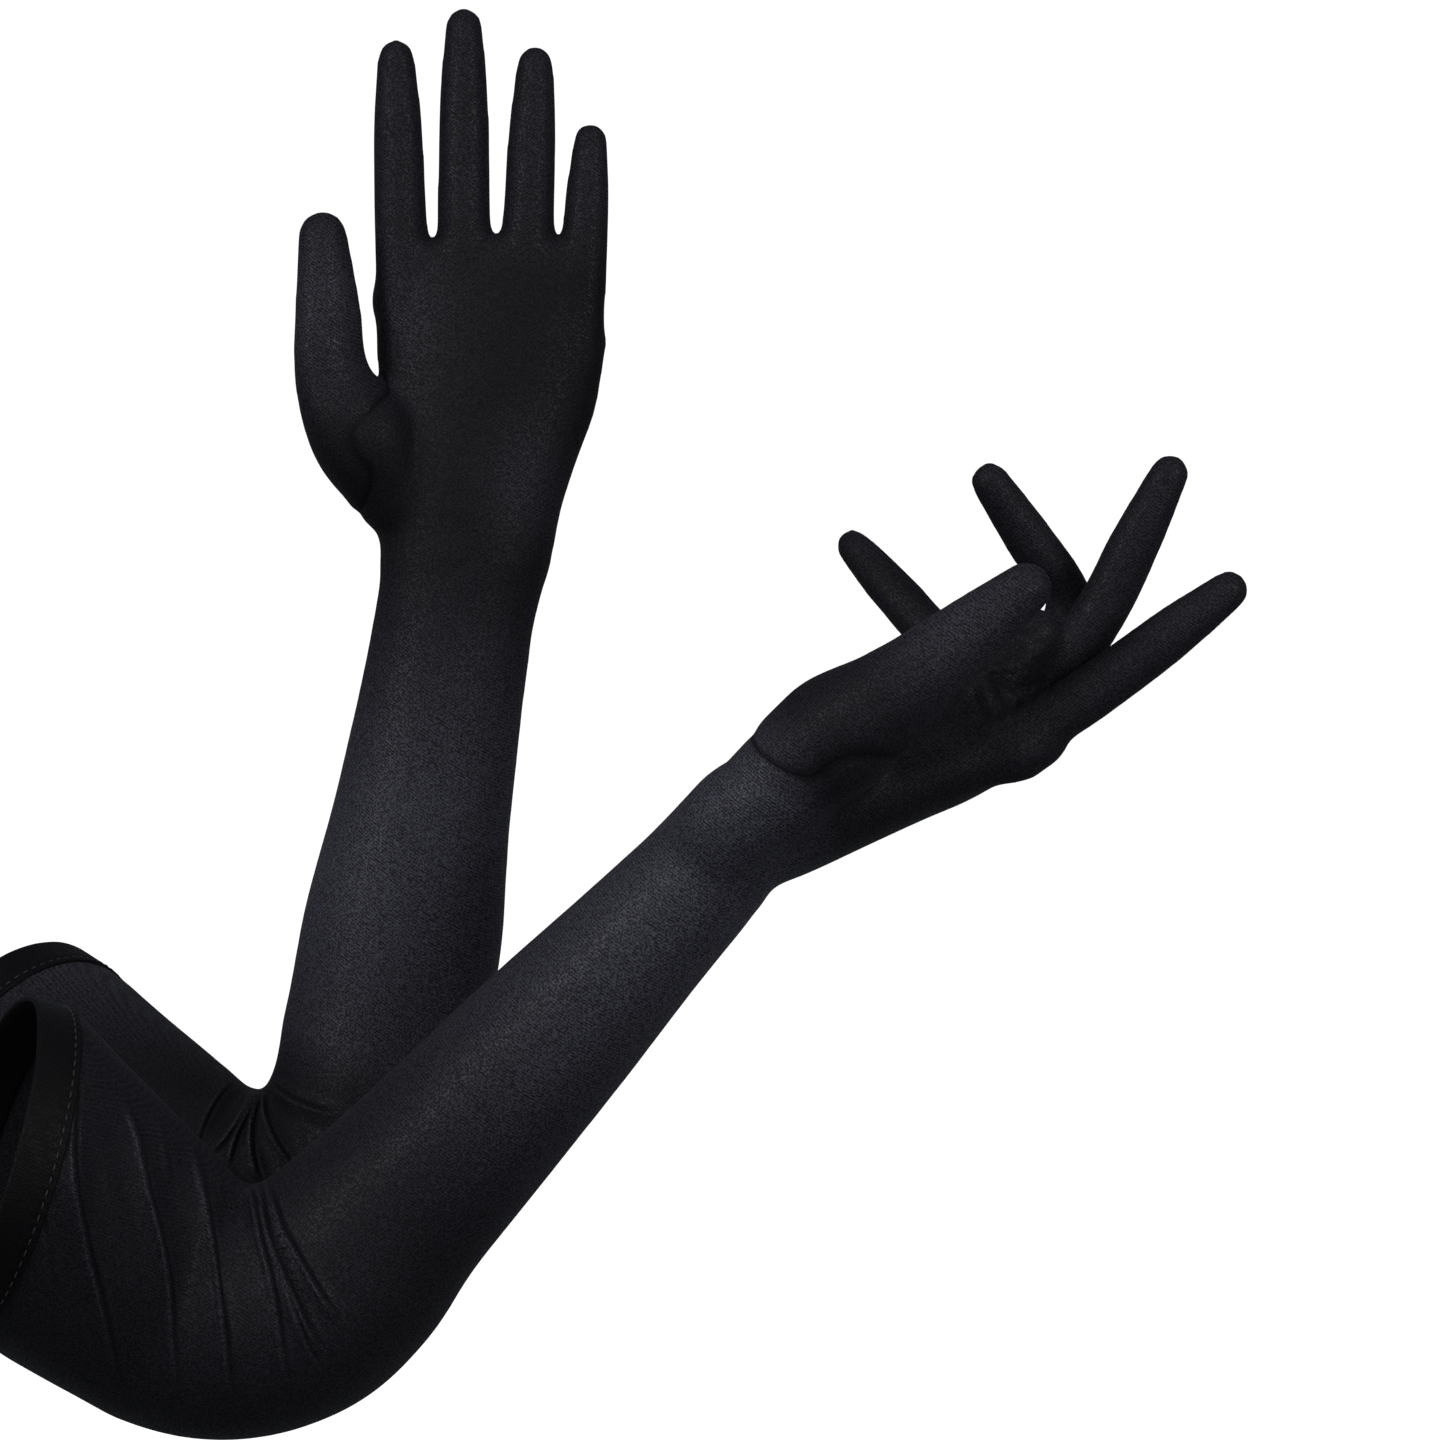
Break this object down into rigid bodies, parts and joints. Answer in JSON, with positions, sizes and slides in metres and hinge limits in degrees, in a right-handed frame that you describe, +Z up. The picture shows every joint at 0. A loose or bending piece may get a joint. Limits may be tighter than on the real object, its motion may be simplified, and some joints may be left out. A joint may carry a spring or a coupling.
{
  "type": "opera gloves",
  "caption": "Pair of long satin opera gloves in worn shape, hollow, with bent elbows, set-in thumbs, hemmed cuffs and jointed fingers.",
  "frame": {"origin": "middle of the right cuff opening, on the plane of the hem", "axes": "+Z up the raised left hand, +X from the cuffs to the right fingertips, +Y from the right glove to the left glove"},
  "size_m": [0.4676, 0.3317, 0.4788],
  "materials": {
    "satin": "black stretch satin, soft sheen, fine twill lines",
    "hem_satin": "the same satin, turned in twice and stitched",
    "seam_edge": "overlocked seam edge, matt black",
    "thread": "black polyester sewing thread"
  },
  "bodies": {
    "right_upper": {"right_cuff_hem": "hem_satin", "right_cuff_stitching": "thread", "right_upper_sleeve": "satin", "right_upper_side_seam": "seam_edge", "right_elbow_sleeve": "satin"},
    "right_forearm": {"right_forearm_sleeve": "satin", "right_forearm_side_seam": "seam_edge", "right_wrist_sleeve": "satin"},
    "right_hand": {"right_palm_panel": "satin", "right_back_panel": "satin", "right_thumb_gusset": "satin", "right_thumb_seam": "seam_edge", "right_hand_side_seam": "seam_edge"},
    "right_thumb": {"right_thumb_stall": "satin"},
    "right_index_root": {"right_index_base": "satin"},
    "right_index_end": {"right_index_tip": "satin"},
    "right_middle_root": {"right_middle_base": "satin"},
    "right_middle_end": {"right_middle_tip": "satin"},
    "right_ring_root": {"right_ring_base": "satin"},
    "right_ring_end": {"right_ring_tip": "satin"},
    "right_little_root": {"right_little_base": "satin"},
    "right_little_end": {"right_little_tip": "satin"},
    "left_upper": {"left_cuff_hem": "hem_satin", "left_cuff_stitching": "thread", "left_upper_sleeve": "satin", "left_upper_side_seam": "seam_edge", "left_elbow_sleeve": "satin"},
    "left_forearm": {"left_forearm_sleeve": "satin", "left_forearm_side_seam": "seam_edge", "left_wrist_sleeve": "satin"},
    "left_hand": {"left_palm_panel": "satin", "left_back_panel": "satin", "left_thumb_gusset": "satin", "left_thumb_seam": "seam_edge", "left_hand_side_seam": "seam_edge"},
    "left_thumb": {"left_thumb_stall": "satin"},
    "left_index_root": {"left_index_base": "satin"},
    "left_index_end": {"left_index_tip": "satin"},
    "left_middle_root": {"left_middle_base": "satin"},
    "left_middle_end": {"left_middle_tip": "satin"},
    "left_ring_root": {"left_ring_base": "satin"},
    "left_ring_end": {"left_ring_tip": "satin"},
    "left_little_root": {"left_little_base": "satin"},
    "left_little_end": {"left_little_tip": "satin"}
  },
  "joints": [
    {"name": "right_elbow", "type": "hinge", "parent": "right_upper", "child": "right_forearm", "pos_m": [0.0851, 0.03, -0.0071], "axis": [0, -1, 0], "range_deg": [-68, 25], "deforming": ["right_elbow_sleeve"]},
    {"name": "right_wrist", "type": "hinge", "parent": "right_forearm", "child": "right_hand", "pos_m": [0.24689, 0.02019, 0.10676], "axis": [0.2019, -0.9543, -0.2205], "range_deg": [-30, 65], "deforming": ["right_wrist_sleeve"]},
    {"name": "right_thumb_swing", "type": "hinge", "parent": "right_hand", "child": "right_thumb", "pos_m": [0.30311, -0.02991, 0.14893], "axis": [0.4986, 0.5625, -0.6596], "range_deg": [0, 28]},
    {"name": "right_index_knuckle", "type": "hinge", "parent": "right_hand", "child": "right_index_root", "pos_m": [0.33605, 0.00667, 0.14713], "axis": [0.1779, -0.9567, -0.2305], "range_deg": [-11, 52]},
    {"name": "right_index_middle", "type": "hinge", "parent": "right_index_root", "child": "right_index_end", "pos_m": [0.36541, 0.00754, 0.16616], "axis": [0.1779, -0.9567, -0.2305], "range_deg": [-6, 80]},
    {"name": "right_middle_knuckle", "type": "hinge", "parent": "right_hand", "child": "right_middle_root", "pos_m": [0.32698, 0.02664, 0.14988], "axis": [0.2019, -0.9543, -0.2205], "range_deg": [-27, 56]},
    {"name": "right_middle_middle", "type": "hinge", "parent": "right_middle_root", "child": "right_middle_end", "pos_m": [0.35668, 0.02513, 0.18365], "axis": [0.2019, -0.9543, -0.2205], "range_deg": [-17, 72]},
    {"name": "right_ring_knuckle", "type": "hinge", "parent": "right_hand", "child": "right_ring_root", "pos_m": [0.31811, 0.04616, 0.15257], "axis": [0.2417, -0.9488, -0.2034], "range_deg": [-23, 58]},
    {"name": "right_ring_middle", "type": "hinge", "parent": "right_ring_root", "child": "right_ring_end", "pos_m": [0.34612, 0.04717, 0.18111], "axis": [0.2417, -0.9488, -0.2034], "range_deg": [-84, 6]},
    {"name": "right_little_knuckle", "type": "hinge", "parent": "right_hand", "child": "right_little_root", "pos_m": [0.30965, 0.07109, 0.15295], "axis": [-0.0893, -0.842, 0.532], "range_deg": [-92, 2]},
    {"name": "right_little_middle", "type": "hinge", "parent": "right_little_root", "child": "right_little_end", "pos_m": [0.29711, 0.0854, 0.1735], "axis": [-0.0893, -0.842, 0.532], "range_deg": [-10, 70]},
    {"name": "pair_spacing", "type": "slide", "parent": "right_upper", "child": "left_upper", "axis": [0, 1, 0], "range_m": [0, 0.25]},
    {"name": "left_elbow", "type": "hinge", "parent": "left_upper", "child": "left_forearm", "pos_m": [0.0777, 0.165, 0.0159], "axis": [0, -1, 0], "range_deg": [-90, 20], "deforming": ["left_elbow_sleeve"]},
    {"name": "left_wrist", "type": "hinge", "parent": "left_forearm", "child": "left_hand", "pos_m": [0.15068, 0.14978, 0.19942], "axis": [1, 0, 0], "range_deg": [-45, 60], "deforming": ["left_wrist_sleeve"]},
    {"name": "left_thumb_swing", "type": "hinge", "parent": "left_hand", "child": "left_thumb", "pos_m": [0.09693, 0.14656, 0.25919], "axis": [-0.7024, -0.7024, -0.1151], "range_deg": [0, 25]},
    {"name": "left_index_knuckle", "type": "hinge", "parent": "left_hand", "child": "left_index_root", "pos_m": [0.12868, 0.14058, 0.2953], "axis": [0.9997, 0, 0.0262], "range_deg": [0, 80]},
    {"name": "left_index_middle", "type": "hinge", "parent": "left_index_root", "child": "left_index_end", "pos_m": [0.12776, 0.14058, 0.33029], "axis": [0.9997, 0, 0.0262], "range_deg": [0, 90]},
    {"name": "left_middle_knuckle", "type": "hinge", "parent": "left_hand", "child": "left_middle_root", "pos_m": [0.15018, 0.14058, 0.29014], "axis": [1, 0, 0], "range_deg": [0, 80]},
    {"name": "left_middle_middle", "type": "hinge", "parent": "left_middle_root", "child": "left_middle_end", "pos_m": [0.15018, 0.14058, 0.33514], "axis": [1, 0, 0], "range_deg": [0, 90]},
    {"name": "left_ring_knuckle", "type": "hinge", "parent": "left_hand", "child": "left_ring_root", "pos_m": [0.17118, 0.14058, 0.2851], "axis": [0.999, 0, -0.0436], "range_deg": [0, 80]},
    {"name": "left_ring_middle", "type": "hinge", "parent": "left_ring_root", "child": "left_ring_end", "pos_m": [0.17292, 0.14058, 0.32506], "axis": [0.999, 0, -0.0436], "range_deg": [0, 90]},
    {"name": "left_little_knuckle", "type": "hinge", "parent": "left_hand", "child": "left_little_root", "pos_m": [0.19068, 0.14158, 0.28042], "axis": [0.9986, 0, -0.0523], "range_deg": [0, 80]},
    {"name": "left_little_middle", "type": "hinge", "parent": "left_little_root", "child": "left_little_end", "pos_m": [0.19214, 0.14158, 0.30838], "axis": [0.9986, 0, -0.0523], "range_deg": [0, 90]}
  ]
}
